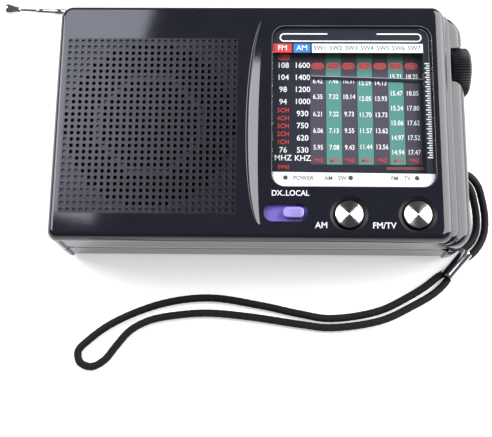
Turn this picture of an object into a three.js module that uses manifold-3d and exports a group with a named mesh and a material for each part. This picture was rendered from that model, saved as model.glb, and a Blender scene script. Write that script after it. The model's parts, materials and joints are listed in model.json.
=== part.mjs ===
// Pocket shortwave receiver lying on its back, face up, with a telescopic antenna and a wrist strap.
// Working frame, in millimetres: the origin is the middle of the speaker grille on the front face,
// +X runs to the tuning knob, +Y to the antenna edge and +Z out of the face.
import * as THREE from 'three';
import { mergeVertices } from 'three/addons/utils/BufferGeometryUtils.js';
import Module from 'manifold-3d';

const wasm = await Module();
wasm.setup();

// Case
const caseDepth = 30;
const partingDepth = 16;
const wall = 2;
const gap = 0.3;
const caseLeft = -30.2;
const faceRight = 92.9;
const flankRight = 100.2;
const caseBottom = -36.4;
const caseTop = 40.4;
const leftCorner = 4.6;
const backSoftness = 4.2;

// Front panel
const faceFront = 0.9;
const lensBox = { left: 37.8, right: 87.7, bottom: -19.7, top: 32.8, corner: 4 };
const buttonY = -28.4;
const buttonRadius = 4.26;
const amButtonX = 61.05;
const fmButtonX = 81.6;
const sliderTravel = 4.5;

// Speaker and grille
const grilleRadius = 25;
const grillePitch = 6;
const speakerRadius = 27.4;

// Tuning drive: the shaft, the drum and the knob share one axis along X
const shaftY = 23.3;
const shaftZ = -14;
const shaftRadius = 2.5;
const knobRadius = 8.05;
const drumRadius = 9.9;
const idlerRadius = 2;
const idlerY = -18;
const dialCordX = 87;
const dialCordRadius = 0.35;
const pointerY = 16.65;

// Batteries
const cellRadius = 7;
const cellLength = 50.5;
const cellZ = -20.65;
const cellRows = [-25.9, -11.5];

// Antenna: the pivot stands on the top edge and the rod lies back along it, dipping by a few degrees
const pivotX = 80;
const pivotY = 42.55;
const pivotZ = -22.5;
const antennaDip = THREE.MathUtils.degToRad(6.7);

// Wrist strap
const cordRadius = 1.25;
const ferruleRadius = 2.1;
const tableZ = -caseDepth;

const rightAngle = Math.PI / 2;

const finish = (color, roughness, metalness) => new THREE.MeshStandardMaterial({ color, roughness, metalness });
const blackPlastic = () => finish(0x14151c, 0.25, 0);
const ribbedBlack = () => finish(0x101012, 0.5, 0);
const chrome = () => finish(0xd8dade, 0.15, 1);
const steel = () => finish(0x9a9da2, 0.35, 1);
const braid = () => finish(0x101010, 0.9, 0);
const boardGreen = () => finish(0x3d6b3a, 0.6, 0);
const darkPart = () => finish(0x1c1c1e, 0.6, 0);

const receiver = new THREE.Group();

function add(name, geometry, material, parent = receiver) {
  const mesh = new THREE.Mesh(geometry, material);
  mesh.name = name;
  parent.add(mesh);
  return mesh;
}

// A block between two values on each axis, placed by its centre
function addBlock(name, material, xs, ys, zs, parent = receiver) {
  const mesh = add(name, new THREE.BoxGeometry(xs[1] - xs[0], ys[1] - ys[0], zs[1] - zs[0]), material, parent);
  mesh.position.set((xs[0] + xs[1]) / 2, (ys[0] + ys[1]) / 2, (zs[0] + zs[1]) / 2);
  return mesh;
}

// Turned round local +Y from [radius, height] pairs
function turned(profile, segments) {
  return new THREE.LatheGeometry(profile.map(([radius, height]) => new THREE.Vector2(radius, height)), segments);
}

function addAlongX(name, material, profile, y, z, segments, parent = receiver) {
  const mesh = add(name, turned(profile, segments), material, parent);
  mesh.rotation.z = -rightAngle;
  mesh.position.set(0, y, z);
  return mesh;
}

function addAlongZ(name, material, profile, x, y, segments, parent = receiver) {
  const mesh = add(name, turned(profile, segments), material, parent);
  mesh.rotation.x = rightAngle;
  mesh.position.set(x, y, 0);
  return mesh;
}

// Rounded rectangle whose right corners can be rounder than its left ones
function outline(left, right, bottom, top, leftRadius, rightRadius = leftRadius) {
  const shape = new THREE.Shape();
  shape.absarc(right - rightRadius, bottom + rightRadius, rightRadius, -rightAngle, 0);
  shape.absarc(right - rightRadius, top - rightRadius, rightRadius, 0, rightAngle);
  shape.absarc(left + leftRadius, top - leftRadius, leftRadius, rightAngle, Math.PI);
  shape.absarc(left + leftRadius, bottom + leftRadius, leftRadius, Math.PI, 3 * rightAngle);
  return shape;
}

// An outline carried from back to front, with rounded rims of the given softness
function slab(shape, back, front, softness = 0, curveSegments = 4) {
  const geometry = new THREE.ExtrudeGeometry(shape, {
    depth: front - back - 2 * softness,
    bevelEnabled: softness > 0,
    bevelThickness: softness,
    bevelSize: softness,
    bevelOffset: -softness,
    bevelSegments: 3,
    curveSegments,
  });
  return geometry.translate(0, 0, back + softness);
}

function block(x0, x1, y0, y1, z0, z1) {
  const geometry = new THREE.BoxGeometry(x1 - x0, y1 - y0, z1 - z0);
  return geometry.translate((x0 + x1) / 2, (y0 + y1) / 2, (z0 + z1) / 2);
}

function rod(radius, from, to, x, y, segments = 12) {
  const geometry = new THREE.CylinderGeometry(radius, radius, to - from, segments);
  return geometry.rotateX(rightAngle).translate(x, y, (from + to) / 2);
}

function rodAlongX(radius, from, to, y, z, segments = 16) {
  const geometry = new THREE.CylinderGeometry(radius, radius, to - from, segments);
  return geometry.rotateZ(rightAngle).translate((from + to) / 2, y, z);
}

function rodAlongY(radius, from, to, x, z, segments = 12) {
  return new THREE.CylinderGeometry(radius, radius, to - from, segments).translate(x, (from + to) / 2, z);
}

// Booleans
function toSolid(geometry) {
  const bare = geometry.clone();
  bare.deleteAttribute('normal');
  bare.deleteAttribute('uv');
  const merged = mergeVertices(bare, 1e-4);
  const vertProperties = new Float32Array(merged.attributes.position.array);
  const triVerts = new Uint32Array(merged.index.array);
  return new wasm.Manifold(new wasm.Mesh({ numProp: 3, vertProperties, triVerts }));
}

function toGeometry(solid) {
  const mesh = solid.simplify(0.004).getMesh();
  const geometry = new THREE.BufferGeometry();
  geometry.setAttribute('position', new THREE.BufferAttribute(new Float32Array(mesh.vertProperties), 3));
  geometry.setIndex(new THREE.BufferAttribute(new Uint32Array(mesh.triVerts), 1));
  geometry.computeVertexNormals();
  return geometry;
}

function joinAll(geometries) {
  return geometries.map(toSolid).reduce((sum, solid) => sum.add(solid));
}

function carve(solid, geometries) {
  return geometries.map(toSolid).reduce((rest, tool) => rest.subtract(tool), solid);
}

// ---- places shared by both halves of the case ----

const screwPosts = [[-24.8, -31], [-24.8, 35], [90.5, 36.1], [91.5, -31]];
const knobScoop = () => rodAlongX(knobRadius + 0.95, 94.8, 110, shaftY, shaftZ, 28);
const shaftHole = () => rodAlongX(shaftRadius + 1, 90, 96, shaftY, shaftZ, 16);

// ---- front shell: four terraces that widen towards the back on the right flank ----

const terraces = [
  { right: faceRight, front: faceFront, softness: 3, corner: 4 },
  { right: 95.1, front: -3.2, softness: 1.6, corner: 5 },
  { right: 97.9, front: -7.2, softness: 2, corner: 6.5 },
  { right: flankRight, front: -11.8, softness: 2.4, corner: 8 },
];

// A shallow crescent pressed into the face between the grille and the dial
function crescentScoop() {
  const shape = new THREE.Shape();
  shape.moveTo(35.4, 35.1);
  shape.bezierCurveTo(29, 28, 29, -26, 34.5, -32.4);
  shape.quadraticCurveTo(32.4, 1.2, 35.4, 35.1);
  return slab(shape, faceFront - 0.5, faceFront + 1, 0, 8);
}

function grilleHoles() {
  const holes = [];
  for (let x = -24; x <= 24; x += grillePitch) {
    for (let y = -24; y <= 24; y += grillePitch) {
      if (Math.hypot(x, y) < grilleRadius) {
        holes.push(rod(1.9, -wall - 1, 1, x, y, 4));
      }
    }
  }
  return holes;
}

function buttonWell(x) {
  const dish = new THREE.CylinderGeometry(5.7, 4.9, 0.8, 20).rotateX(rightAngle).translate(x, buttonY, faceFront - 0.3);
  return [dish, rod(buttonRadius + 0.35, -4, 2, x, buttonY, 20)];
}

function frontShell() {
  const layers = terraces.map(({ right, front, softness, corner }) =>
    slab(outline(caseLeft, right, caseBottom, caseTop, leftCorner, corner), -24, front, softness));
  let shell = joinAll(layers);
  const inside = outline(caseLeft + wall, 90.4, caseBottom + wall, caseTop - wall, 2.5);
  const wideInside = outline(caseLeft + wall, 95.5, caseBottom + wall, caseTop - wall, 2.5, 6);
  shell = carve(shell, [
    block(-60, 130, -60, 60, -40, -partingDepth),
    slab(inside, -20, -wall),
    slab(wideInside, -20, -8),
  ]);
  const posts = screwPosts.map(([x, y]) => rod(2.3, -partingDepth, -wall + 0.5, x, y, 10));
  const shaftWall = block(92.5, 96.2, 12.8, 33.6, -partingDepth, -4.4);
  shell = shell.add(joinAll([...posts, shaftWall]));
  const { left, right, bottom, top, corner } = lensBox;
  return carve(shell, [
    slab(outline(left - gap, right + gap, bottom - gap, top + gap, corner + gap), -0.8, 4),
    slab(outline(left + 1.5, right - 1.5, bottom + 1.5, top - 1.5, corner - 1.3), -4, 4),
    slab(outline(35.2, 48.7, -30.8, -25.1, 1.2), -4, 4),
    block(30.3, 53, -32.3, -23.6, -4, -0.6),
    ...buttonWell(amButtonX),
    ...buttonWell(fmButtonX),
    ...grilleHoles(),
    crescentScoop(),
    ...screwPosts.map(([x, y]) => rod(0.85, -20, -6, x, y, 8)),
    knobScoop(),
    shaftHole(),
  ]);
}

// ---- back shell with the battery bay ----

const doorBox = { left: 31.2, right: 86.8, bottom: -34.2, top: -3.4 };

function backShell() {
  const front = -partingDepth - gap;
  const outside = outline(caseLeft, flankRight, caseBottom, caseTop, leftCorner, 8);
  const inside = outline(caseLeft + wall, 96.5, caseBottom + wall, caseTop - wall, 2.5, 6);
  let shell = carve(toSolid(slab(outside, -caseDepth, -8, backSoftness)), [
    slab(inside, -caseDepth + wall, -4, 2.4),
    block(-60, 130, -60, 60, front, 10),
  ]);
  const posts = screwPosts.map(([x, y]) => rod(2.8, -caseDepth + wall - 0.5, front, x, y, 12));
  shell = shell.add(joinAll([
    ...posts,
    block(31.6, 85.9, -34.1, -3.2, -28.5, -12.1),
    block(92.5, 97, 13, 33.6, -25, front),
    block(92.8, 97, -17.5, -4.5, -26, front),
  ]));
  return carve(shell, [
    block(32.6, 84.9, -33.3, -4.1, -34, -13.1),
    block(doorBox.left - gap, doorBox.right + gap, -44, doorBox.top + gap, -34, -27.9),
    ...screwPosts.map(([x, y]) => rod(1.1, -34, -10, x, y, 8)),
    ...screwPosts.map(([x, y]) => rod(2.3, -34, -27.5, x, y, 12)),
    block(-34, -27.5, 22 - 8.3, 22 + 8.3, -21.9, -18.6),
    block(-34, -27.5, -10.5, 10.5, -22.2, -19.8),
    rodAlongX(3.5, -34, -27, -16.6, -21, 12),
    rodAlongX(3.5, -34, -27, -24.2, -21, 12),
    rodAlongY(3.7, 36, 44, pivotX, pivotZ, 16),
    block(95.5, 104, -14.8, -7.2, -22.8, -17),
    rodAlongY(1.2, -15.8, -6.2, 97.8, -19.8, 10),
    knobScoop(),
    shaftHole(),
  ]);
}

// ---- speaker ----

function addSpeaker() {
  addAlongZ('speaker_basket', steel(), [
    [9, -15.8], [21.6, -13.4], [25.4, -3.8], [speakerRadius, -3.8], [speakerRadius, -3.1],
    [24.8, -3.1], [21.2, -12.8], [9, -15.2], [9, -15.8],
  ], 0, 0, 24);
  addAlongZ('speaker_cone', finish(0x2c2825, 0.9, 0), [
    [0, -9.2], [4, -9.8], [7, -11.8], [23.9, -3.9], [23.9, -3.4], [7, -11.2], [4, -9.2], [0, -8.6],
  ], 0, 0, 24);
  addAlongZ('speaker_magnet', darkPart(), [[0, -23.5], [12.5, -23.5], [13, -23], [13, -16.1], [0, -16.1]], 0, 0, 24);
}

// ---- dial: lens, printed plate, pointer, drum, idler and cord ----

function dialCord() {
  const lean = Math.atan2(drumRadius - idlerRadius, shaftY - idlerY);
  const frontAngle = rightAngle;
  const backAngle = 1.5 * Math.PI - 2 * lean;
  const points = [];
  const arc = (y, z, radius, from, to, count) => {
    for (let i = 0; i <= count; i += 1) {
      const angle = from + ((to - from) * i) / count;
      points.push(new THREE.Vector3(dialCordX, y + radius * Math.cos(angle), z + radius * Math.sin(angle)));
    }
  };
  arc(shaftY, shaftZ, drumRadius, -0.3, frontAngle, 12);
  arc(idlerY, shaftZ + drumRadius - idlerRadius, idlerRadius, frontAngle, backAngle, 9);
  arc(shaftY, shaftZ, drumRadius, backAngle, 2 * Math.PI - 0.4, 8);
  const path = new THREE.CurvePath();
  for (let i = 1; i < points.length; i += 1) {
    path.add(new THREE.LineCurve3(points[i - 1], points[i]));
  }
  return path;
}

function circleOutline(radius, sides) {
  const corners = [];
  for (let i = 0; i < sides; i += 1) {
    const angle = (2 * Math.PI * i) / sides;
    corners.push(new THREE.Vector2(radius * Math.cos(angle), radius * Math.sin(angle)));
  }
  return new THREE.Shape(corners);
}

function tube(path, radius, steps) {
  return new THREE.ExtrudeGeometry(circleOutline(radius, 8), { steps, extrudePath: path, bevelEnabled: false });
}

function addDial() {
  const { left, right, bottom, top, corner } = lensBox;
  const lens = add('dial_lens', slab(outline(left, right, bottom, top, corner), -0.5, faceFront - 0.1),
    finish(0x24303a, 0.08, 0));
  lens.material.transparent = true;
  lens.material.opacity = 0.5;
  add('dial_plate', slab(outline(36, 84.2, -19.5, 33.5, 1), -3.8, -3), finish(0x2b7a72, 0.5, 0));
  const wire = block(49.5, 86.5, pointerY - 0.3, pointerY + 0.3, -2.75, -2.35);
  const carriage = block(85.4, 88.6, pointerY - 2, pointerY + 2, -3.35, -2.35);
  add('dial_pointer', toGeometry(joinAll([wire, carriage])), finish(0xe9e6dc, 0.4, 0));
  addAlongX('tuning_drum', finish(0xd9d4c4, 0.5, 0), [
    [2.8, 85.5], [10.3, 85.5], [10.3, 86], [9.35, 86.5], [9.35, 87.5], [10.3, 88], [10.3, 88.5], [2.8, 88.5], [2.8, 85.5],
  ], shaftY, shaftZ, 28);
  addAlongX('cord_idler', finish(0xd9d4c4, 0.5, 0), [
    [0.8, 86.1], [2.6, 86.1], [2.6, 86.3], [1.35, 86.5], [1.35, 87.5], [2.6, 87.7], [2.6, 87.9], [0.8, 87.9], [0.8, 86.1],
  ], idlerY, shaftZ + drumRadius - idlerRadius, 16);
  const bracket = block(83, 85.4, idlerY - 2, idlerY + 2, -9.1, -4.5);
  const pin = rodAlongX(0.5, 85.2, 88.6, idlerY, shaftZ + drumRadius - idlerRadius, 12);
  add('idler_bracket', toGeometry(joinAll([bracket, pin])), steel());
  add('dial_cord', tube(dialCord(), dialCordRadius, 60), finish(0xcfc8b4, 0.9, 0));
}

// ---- tuning shaft, knob and capacitor ----

function addTuning() {
  addBlock('tuning_capacitor', finish(0xb9bcb0, 0.4, 0), [71, 82], [15.3, 31.3], [-21.5, -6.5]);
  addAlongX('tuning_shaft', steel(), [[0, 82.3], [shaftRadius, 82.3], [shaftRadius, 101], [0, 101]],
    shaftY, shaftZ, 12);
  addAlongX('tuning_knob', ribbedBlack(), [
    [0, 101.3], [2.8, 101.3], [2.8, 95.4], [7.6, 95.4], [knobRadius, 95.9], [knobRadius, 101.2], [7.2, 102.2], [0, 102.2],
  ], shaftY, shaftZ, 24);
}

// ---- front controls ----

function addButton(name, switchName, x) {
  addAlongZ(name, chrome(), [
    [0, -4.2], [1.5, -4.2], [1.5, -3.2], [5.2, -3.2], [5.2, -2.4], [buttonRadius, -2.4], [buttonRadius, 1.1], [3.9, 1.5], [0, 1.5],
  ], x, buttonY, 20);
  addBlock(switchName, darkPart(), [x - 3, x + 3], [buttonY - 3, buttonY + 3], [-9.1, -5.6]);
}

function addFrontControls() {
  addButton('am_button', 'am_switch', amButtonX);
  addButton('fm_button', 'fm_switch', fmButtonX);
  const plate = block(35.2, 52.5, -31.9, -24, -1.8, -0.9);
  const thumb = block(41.2, 47.5, -29.6, -26.2, -1.2, 1.3);
  const stem = block(43.5, 45.5, -29, -27, -4, -1.5);
  add('sensitivity_slider', toGeometry(joinAll([plate, thumb, stem])), finish(0x8f86d8, 0.4, 0));
  addBlock('sensitivity_switch', steel(), [36, 48], [-31, -25], [-9.1, -4.4]);
  const lamps = [['power_led', 41.95], ['am_led', 61.8], ['fm_led', 81.95]];
  lamps.forEach(([name, x]) => {
    addAlongZ(name, finish(0x552020, 0.3, 0), [[0, -2.7], [0.7, -2.7], [0.7, -1], [0, -0.8]], x, -16.7, 10);
  });
}

// ---- electronics ----

function addElectronics() {
  const shape = new THREE.Shape([
    [31.5, -33], [84.5, -33], [84.5, 10], [70.2, 10], [70.2, 37], [31.5, 37],
  ].map(([x, y]) => new THREE.Vector2(x, y)));
  add('main_board', slab(shape, -10.6, -9.4), boardGreen());
  addBlock('side_board', boardGreen(), [-27.6, -16], [-27.4, 31.6], [-25.2, -24.2]);
  addBlock('radio_chip', darkPart(), [44, 62], [14, 21], [-14, -10.9]);
  [[40, 2.5], [52, 2.5]].forEach(([x, y], index) => {
    addBlock(`tuned_coil_${index + 1}`, steel(), [x - 3.5, x + 3.5], [y - 3.5, y + 3.5], [-18.9, -10.9]);
  });
  addAlongZ('board_capacitor', finish(0x22304f, 0.4, 0),
    [[0, -19], [2.8, -19], [3, -18.6], [3, -10.9], [0, -10.9]], 66, 14, 12);
  addAlongX('ferrite_rod', finish(0x2b2a2c, 0.7, 0), [[0, 14], [4, 14], [4, 70], [0, 70]], 32.4, -20.2, 14);
  addAlongX('ferrite_coil', finish(0xb06a2c, 0.5, 0),
    [[4.4, 44], [5.2, 44], [5.2, 60], [4.4, 60], [4.4, 44]], 32.4, -20.2, 14);
}

// ---- batteries, contacts and door ----

function addPower() {
  const start = 33.6;
  const end = start + cellLength;
  const nub = 1;
  const half = (start + end) / 2;
  cellRows.forEach((y, index) => {
    // The two cells point opposite ways
    const cell = turned([[0, start], [cellRadius, start], [cellRadius, end - nub], [2.7, end - nub], [2.7, end], [0, end]], 16);
    const mesh = add(`battery_${index + 1}`, cell.translate(0, -half, 0), finish(0xc0872f, 0.35, 0.3));
    mesh.rotation.z = index === 0 ? -rightAngle : rightAngle;
    mesh.position.set(half, y, cellZ);
  });
  addBlock('battery_link', steel(), [32.8, 33.2], [-31.5, -6], [-25, -16.5]);
  addBlock('battery_terminals', steel(), [84.4, 84.7], [-31.5, -6], [-25, -16.5]);
  const { left, right, bottom, top } = doorBox;
  const plate = block(left, right, bottom, top, -29.6, -28.2);
  const grips = [-11.5, -9.3, -7.1].map((y) => block(52, 66, y, y + 1.2, -31, -29.1));
  add('battery_door', toGeometry(carve(toSolid(plate), grips)), blackPlastic());
}

// ---- left side controls and sockets ----

function socketProfile(bore) {
  return [[0, -23.5], [3.2, -23.5], [3.2, -30.1], [2.9, -30.4], [bore, -30.4], [bore, -24.5], [0, -24.5]];
}

function addSideControls() {
  const wheel = [[0, -21.5], [8.7, -21.5], [9, -21.2], [9, -19.3], [8.7, -19], [0, -19]];
  addAlongZ('volume_wheel', ribbedBlack(), wheel, -23.5, 22, 28);
  addAlongZ('volume_pot', darkPart(), [[0, -23.9], [4.3, -23.9], [4.3, -21.8], [0, -21.8]], -23.5, 22, 14);
  const cap = block(-32.2, -30.5, -2.5, 2.5, -23.2, -18.8);
  const stem = block(-31, -28.3, -1, 1, -22, -20);
  add('band_knob', toGeometry(joinAll([cap, stem])), blackPlastic());
  addBlock('band_switch', steel(), [-27.4, -21.5], [-12.5, 12.5], [-23.9, -18]);
  add('earphone_jack', turned(socketProfile(1.75).reverse(), 14), darkPart());
  add('dc_jack', turned(socketProfile(1.5).reverse(), 14), darkPart());
  [['earphone_jack', -16.6], ['dc_jack', -24.2]].forEach(([name, y]) => {
    const jack = receiver.getObjectByName(name);
    jack.rotation.z = -rightAngle;
    jack.position.set(0, y, -21);
  });
}

// ---- antenna: base, fork, knuckle and telescopic tubes ----

function addAntenna() {
  const base = add('antenna_base', turned([[0, 36.4], [4.1, 36.4], [4.1, 38], [3.4, 38], [3.4, 40.3], [0, 40.3]], 16), chrome());
  base.position.set(pivotX, 0, pivotZ);

  const pivot = new THREE.Group();
  pivot.position.set(pivotX, pivotY, pivotZ);
  pivot.rotation.y = antennaDip;
  receiver.add(pivot);

  const disc = rodAlongY(3.4, 40.65 - pivotY, 41.35 - pivotY, 0, 0, 16);
  const cheeks = [-1, 1].map((side) => {
    const z = side * 1.65;
    return [block(-1.45, 1.45, 41.2 - pivotY, 0, z - 0.55, z + 0.55), rod(1.45, z - 0.55, z + 0.55, 0, 0, 14)];
  });
  const fork = joinAll([disc, ...cheeks.flat()]);
  add('antenna_fork', toGeometry(carve(fork, [rod(0.75, -3, 3, 0, 0, 12)])), chrome(), pivot);
  const pinProfile = [[0, -2.9], [1, -2.9], [1, -2.5], [0.5, -2.5], [0.5, 2.5], [1, 2.5], [1, 2.9], [0, 2.9]];
  const pin = add('antenna_pin', turned(pinProfile, 12), steel(), pivot);
  pin.rotation.x = rightAngle;

  const tongue = joinAll([
    rod(0.95, -0.85, 0.85, 0, 0, 14),
    block(-4.4, 0, -0.95, 0.95, -0.85, 0.85),
    rodAlongX(1.85, -6, -3.8, 0, 0, 14),
    turned([[1.57, 5.2], [1.85, 5.2], [1.85, 108.6], [1.57, 108.6], [1.57, 5.2]], 14).rotateZ(rightAngle),
  ]);
  add('antenna_tube_1', toGeometry(carve(tongue, [rod(0.72, -3, 3, 0, 0, 12)])), chrome(), pivot);

  const tubes = [
    { name: 'antenna_tube_2', outer: 1.42, bore: 1.2, from: 8, to: 110 },
    { name: 'antenna_tube_3', outer: 1.08, bore: 0.9, from: 11, to: 115 },
    { name: 'antenna_tube_4', outer: 0.78, bore: 0.62, from: 16, to: 121 },
  ];
  tubes.forEach(({ name, outer, bore, from, to }) => {
    const profile = [[bore, from], [outer, from], [outer, to], [bore, to], [bore, from]];
    const mesh = add(name, turned(profile, 14), chrome(), pivot);
    mesh.rotation.z = rightAngle;
  });
  const tip = [[0, 20], [0.5, 20], [0.5, 126.4], [0.95, 126.4], [1.9, 129.9], [1.7, 130.9], [0, 130.9]];
  add('antenna_tip', turned(tip, 14), chrome(), pivot).rotation.z = rightAngle;
}

// ---- fasteners ----

function addScrews() {
  screwPosts.forEach(([x, y], index) => {
    addAlongZ(`case_screw_${index + 1}`, steel(),
      [[0, -29.3], [1.6, -29.3], [2, -28.9], [2, -27.8], [0.65, -27.8], [0.65, -7], [0, -7]], x, y, 10);
  });
}

// ---- wrist strap: a doubled cord from the flank, through a crimped ferrule, round its loop and back ----

const liftZ = tableZ + cordRadius;
const strandGap = 1.4;
const ferruleFrom = new THREE.Vector3(102.4, -34, liftZ + 0.5);
const ferruleTo = new THREE.Vector3(95.1, -42.2, liftZ + 0.5);

// Middle line of the two strands between the flank and the ferrule
const tailRoute = [
  [99, -11, -19.8], [101.6, -11.3, -20], [104.3, -13.6, -22], [106.2, -17.8, -25],
  [107.3, -22.5, -27.4], [107.1, -27, liftZ + 0.2], [105.3, -31, liftZ + 0.2],
];

// The loop, from the ferrule along the outer strand, round the end and back along the inner strand
const loopRoute = [
  [94.6, -44.6], [91, -47.8], [84, -51.9], [73.9, -56.6], [57.3, -59.1], [47.4, -58.1], [31.1, -55.8],
  [17.7, -54.7], [8.3, -55.3], [-1.5, -57.2], [-7.8, -60.6], [-12, -65.4], [-15.8, -70.2], [-19.9, -72.3],
  [-23.6, -71], [-24.4, -67.4], [-21.2, -63.8], [-13.2, -58], [2.1, -51.8], [17.6, -49.7], [34.4, -52],
  [47.4, -54.7], [57.1, -56.1], [72.9, -53.6], [82.4, -49.1], [89, -45], [92.4, -42.3],
];

function strand(points, radius, steps) {
  return tube(new THREE.CatmullRomCurve3(points, false, 'centripetal'), radius, steps);
}

function tailPoints(side) {
  const middle = tailRoute.map(([x, y, z]) => new THREE.Vector3(x, y, z));
  const along = ferruleTo.clone().sub(ferruleFrom).normalize();
  const last = ferruleFrom.clone().addScaledVector(along, -gap);
  const points = [...middle, last];
  return points.map((point, index) => {
    const before = points[Math.max(index - 1, 0)];
    const after = points[Math.min(index + 1, points.length - 1)];
    const across = new THREE.Vector3(before.y - after.y, after.x - before.x, 0).normalize();
    return point.clone().addScaledVector(across, side * strandGap);
  });
}

function addStrap() {
  const pin = add('strap_pin', new THREE.CylinderGeometry(0.9, 0.9, 8.8, 12), steel());
  pin.position.set(97.8, -11, -19.8);
  add('strap_tail_1', strand(tailPoints(1), cordRadius, 14), braid());
  add('strap_tail_2', strand(tailPoints(-1), cordRadius, 14), braid());
  const loop = loopRoute.map(([x, y]) => new THREE.Vector3(x, y, liftZ));
  add('strap_loop', strand(loop, cordRadius, 72), braid());
  const length = ferruleFrom.distanceTo(ferruleTo);
  const ferrule = add('strap_ferrule', new THREE.CylinderGeometry(ferruleRadius, ferruleRadius, length, 16), chrome());
  ferrule.position.copy(ferruleFrom).add(ferruleTo).multiplyScalar(0.5);
  ferrule.position.z = tableZ + ferruleRadius;
  ferrule.quaternion.setFromUnitVectors(new THREE.Vector3(0, 1, 0), ferruleTo.clone().sub(ferruleFrom).normalize());
}

add('front_shell', toGeometry(frontShell()), blackPlastic());
add('back_shell', toGeometry(backShell()), blackPlastic());
addSpeaker();
addDial();
addTuning();
addFrontControls();
addElectronics();
addPower();
addSideControls();
addAntenna();
addScrews();
addStrap();

// The origin moves to the middle of the underside of the receiver's own box, without the strap
const strapNodes = ['strap_tail_1', 'strap_tail_2', 'strap_loop', 'strap_ferrule'];
receiver.updateMatrixWorld(true);
const bounds = new THREE.Box3();
receiver.traverse((part) => {
  if (part.isMesh && !strapNodes.includes(part.name)) {
    bounds.expandByObject(part, true);
  }
});
const middle = bounds.getCenter(new THREE.Vector3());
receiver.position.set(-middle.x, -middle.y, -bounds.min.z);

export default receiver;
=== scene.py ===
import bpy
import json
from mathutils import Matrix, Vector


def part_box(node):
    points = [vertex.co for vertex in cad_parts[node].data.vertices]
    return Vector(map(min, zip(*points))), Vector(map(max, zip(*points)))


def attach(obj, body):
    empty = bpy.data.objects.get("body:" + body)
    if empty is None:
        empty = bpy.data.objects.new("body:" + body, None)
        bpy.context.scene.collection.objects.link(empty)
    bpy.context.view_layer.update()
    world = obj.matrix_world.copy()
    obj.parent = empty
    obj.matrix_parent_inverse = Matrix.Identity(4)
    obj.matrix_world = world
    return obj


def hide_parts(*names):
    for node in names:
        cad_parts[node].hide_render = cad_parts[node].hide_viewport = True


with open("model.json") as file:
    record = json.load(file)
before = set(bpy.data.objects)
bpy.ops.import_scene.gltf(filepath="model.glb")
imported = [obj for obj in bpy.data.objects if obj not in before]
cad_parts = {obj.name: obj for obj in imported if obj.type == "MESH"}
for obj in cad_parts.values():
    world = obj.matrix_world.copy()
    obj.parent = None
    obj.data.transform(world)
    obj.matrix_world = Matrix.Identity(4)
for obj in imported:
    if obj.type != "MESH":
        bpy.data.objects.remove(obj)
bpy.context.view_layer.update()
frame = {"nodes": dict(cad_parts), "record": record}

import itertools
import json
import math
import bmesh
import bpy
import numpy as np
from mathutils import Quaternion, Vector

# Pocket shortwave receiver lying face up. Lengths below are millimetres in the receiver's own
# drawing frame: origin in the middle of the speaker grille on the front face, x to the knob,
# y to the antenna edge, z out of the face. toFrame() turns them into the model's metres.
faceFront = 0.9
caseDepth = 30.0
case = {"left": -30.2, "right": 92.9, "bottom": -36.4, "top": 40.4, "corner": 4.4, "footCorner": 2.8, "wall": 1.6,
        "recess": 0.7, "recessLeft": -26.8, "recessRight": 88.2, "rim": 2.1, "shoulder": 3.9, "broad": 100.2}
shellLow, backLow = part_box("front_shell")[0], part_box("back_shell")[0]
grilleCentre = np.array([shellLow[0] - case["left"] / 1000, shellLow[1] - case["bottom"] / 1000,
                         backLow[2] + caseDepth / 1000])


def toFrame(points):
    return np.asarray(points, float) / 1000 + grilleCentre


# meshes

def gridFaces(rows, cols, wrapRows=False, wrapCols=False):
    r, c = np.meshgrid(np.arange(rows if wrapRows else rows - 1),
                       np.arange(cols if wrapCols else cols - 1), indexing="ij")
    down, across = (r + 1) % rows, (c + 1) % cols
    quads = np.stack([r * cols + c, r * cols + across, down * cols + across, down * cols + c], -1)
    return quads.reshape(-1, 4)


def newPiece(name, points, faces, material, body="case", smooth=True, closed=True):
    mesh = bpy.data.meshes.new(name)
    mesh.from_pydata(toFrame(points).tolist(), [], [list(map(int, f)) for f in faces])
    mesh.update()
    if closed and signedVolume(mesh) < 0:
        mesh.flip_normals()
    piece = bpy.data.objects.new(name, mesh)
    bpy.context.collection.objects.link(piece)
    mesh.materials.append(finishes[material])
    mesh.polygons.foreach_set("use_smooth", np.full(len(mesh.polygons), smooth))
    if smooth:
        keepCreases(mesh, 35)
    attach(piece, body)
    return piece


# the piece is seen in place of the named CAD parts, which are hidden
def standsFor(piece, slotName, *nodes):
    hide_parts(*nodes)


# six times the volume, as the sum over the triangles of a . (b x c)
def signedVolume(mesh):
    mesh.calc_loop_triangles()
    corners = np.empty(len(mesh.loop_triangles) * 3, np.int32)
    mesh.loop_triangles.foreach_get("vertices", corners)
    places = np.empty(len(mesh.vertices) * 3)
    mesh.vertices.foreach_get("co", places)
    a, b, c = np.moveaxis(places.reshape(-1, 3)[corners.reshape(-1, 3)], 1, 0)
    return float(np.einsum("ij,ij->i", a, np.cross(b, c)).sum())


def keepCreases(mesh, degrees):
    mesh.set_sharp_from_angle(angle=math.radians(degrees))


# a ring of points carried from row to row; the first and last ring may be filled in
def carried(name, grid, material, body="case", wrapRows=False, capFirst=True, capLast=True, smooth=True):
    rows, cols = grid.shape[:2]
    faces = gridFaces(rows, cols, wrapRows, True).tolist()
    if not wrapRows and capFirst:
        faces.append(list(range(cols))[::-1])
    if not wrapRows and capLast:
        faces.append([(rows - 1) * cols + i for i in range(cols)])
    return newPiece(name, grid.reshape(-1, 3), faces, material, body, smooth)


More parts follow.
